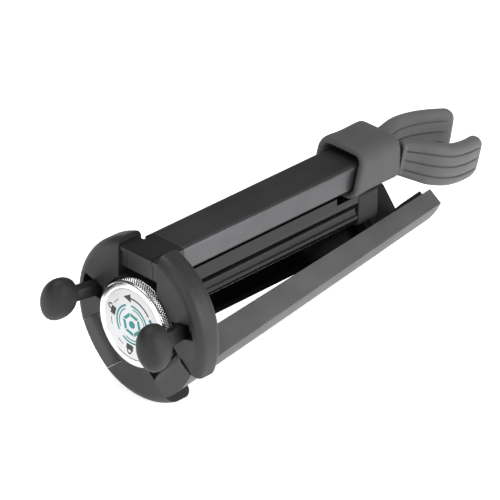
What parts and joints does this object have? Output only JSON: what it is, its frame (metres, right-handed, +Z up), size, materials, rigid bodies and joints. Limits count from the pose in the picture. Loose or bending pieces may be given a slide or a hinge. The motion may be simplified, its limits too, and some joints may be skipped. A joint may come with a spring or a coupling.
{
  "type": "folding instrument stand",
  "caption": "Compact folding stand for a wind instrument: twist-knob hub, folding legs, swing-up telescopic upright with a padded fork, and two capped prongs.",
  "frame": {"origin": "centre of the bounding box on its lowest plane, stand folded and lying with the upright on top", "axes": "+X along the folded stand from the twist knob to the fork, +Z up through the upright, +Y to the left seen from the knob"},
  "size_m": [0.284, 0.094, 0.0955],
  "materials": {
    "hub_plastic": "fine matte moulded nylon",
    "steel": "plain bright steel",
    "ptfe": "slippery washer",
    "knob_metal": "knurled bright rim",
    "label": "printed silver disc",
    "clamp_metal": "pressed plate",
    "leg_face": "dark anodised, satin",
    "leg_gloss": "black anodised, glossy",
    "block_plastic": "moulded nylon",
    "foot_rubber": "matte rubber",
    "upright_paint": "dark satin",
    "bar_metal": "satin",
    "collar_rubber": "matte grained rubber",
    "pad_rubber": "ribbed rubber",
    "cap_rubber": "matte rubber"
  },
  "bodies": {
    "hub": {"hub_front": "hub_plastic", "hub_rear": "hub_plastic", "hub_screws": "steel", "thrust_washer": "ptfe", "leg_pins": "steel", "prong_pins": "steel"},
    "knob": {"knob": "knob_metal", "knob_label": "label", "spindle": "steel", "spindle_nut": "steel"},
    "clamp": {"clamp_plate": "clamp_metal", "guide_pins": "steel"},
    "leg_right": {"leg_right": "leg_face", "leg_block_right": "block_plastic", "leg_foot_right": "foot_rubber", "leg_rivets_right": "steel"},
    "leg_left": {"leg_left": "leg_face", "leg_block_left": "block_plastic", "leg_foot_left": "foot_rubber", "leg_rivets_left": "steel"},
    "rear_leg": {"rear_leg": "leg_gloss", "rear_leg_block": "block_plastic", "rear_leg_foot": "foot_rubber", "rear_leg_rivets": "steel"},
    "upright": {"upright_tube": "upright_paint", "upright_plug": "block_plastic", "upright_rivet": "steel", "guide_bush": "block_plastic"},
    "head": {"inner_bar": "bar_metal", "head_block": "block_plastic", "head_collar": "collar_rubber", "yoke_pins": "steel"},
    "yoke_right": {"yoke_pad_right": "pad_rubber", "yoke_rod_right": "steel"},
    "yoke_left": {"yoke_pad_left": "pad_rubber", "yoke_rod_left": "steel"},
    "prong_right": {"prong_right": "block_plastic", "prong_cap_right": "cap_rubber"},
    "prong_left": {"prong_left": "block_plastic", "prong_cap_left": "cap_rubber"}
  },
  "joints": [
    {"name": "knob_turn", "type": "hinge", "parent": "hub", "child": "knob", "pos_m": [-0.10948, 0, 0.047], "axis": [-1, 0, 0], "range_deg": [0, 360]},
    {"name": "clamp_travel", "type": "slide", "parent": "hub", "child": "clamp", "axis": [1, 0, 0], "range_m": [0, 0.00152]},
    {"name": "leg_right_fold", "type": "hinge", "parent": "hub", "child": "leg_right", "pos_m": [-0.10148, -0.02566, 0.02547], "axis": [0, 0.6428, -0.766], "range_deg": [0, 78]},
    {"name": "leg_left_fold", "type": "hinge", "parent": "hub", "child": "leg_left", "pos_m": [-0.10148, 0.02566, 0.02547], "axis": [0, 0.6428, 0.766], "range_deg": [0, 78]},
    {"name": "rear_leg_fold", "type": "hinge", "parent": "hub", "child": "rear_leg", "pos_m": [-0.10148, 0, 0.0805], "axis": [0, -1, 0], "range_deg": [0, 78]},
    {"name": "upright_swing", "type": "hinge", "parent": "rear_leg", "child": "upright", "pos_m": [-0.10148, 0, 0.0805], "axis": [0, -1, 0], "range_deg": [0, 72]},
    {"name": "upright_extend", "type": "slide", "parent": "upright", "child": "head", "axis": [1, 0, 0], "range_m": [0, 0.07]},
    {"name": "yoke_right_swing", "type": "hinge", "parent": "head", "child": "yoke_right", "pos_m": [0.06932, -0.0065, 0.0805], "axis": [0, 0, -1], "range_deg": [-5, 15]},
    {"name": "yoke_left_swing", "type": "hinge", "parent": "head", "child": "yoke_left", "pos_m": [0.06932, 0.0065, 0.0805], "axis": [0, 0, 1], "range_deg": [0, 25]},
    {"name": "prong_right_swing", "type": "hinge", "parent": "hub", "child": "prong_right", "pos_m": [-0.10148, -0.03105, 0.05474], "axis": [0, 0.2419, 0.9703], "range_deg": [0, 25]},
    {"name": "prong_left_swing", "type": "hinge", "parent": "hub", "child": "prong_left", "pos_m": [-0.10148, 0.03105, 0.05474], "axis": [0, 0.2419, -0.9703], "range_deg": [0, 25]}
  ],
  "couplings": [
    {"joint": "clamp_travel", "follows": "knob_turn", "m_per_rad": 0.00023873}
  ]
}
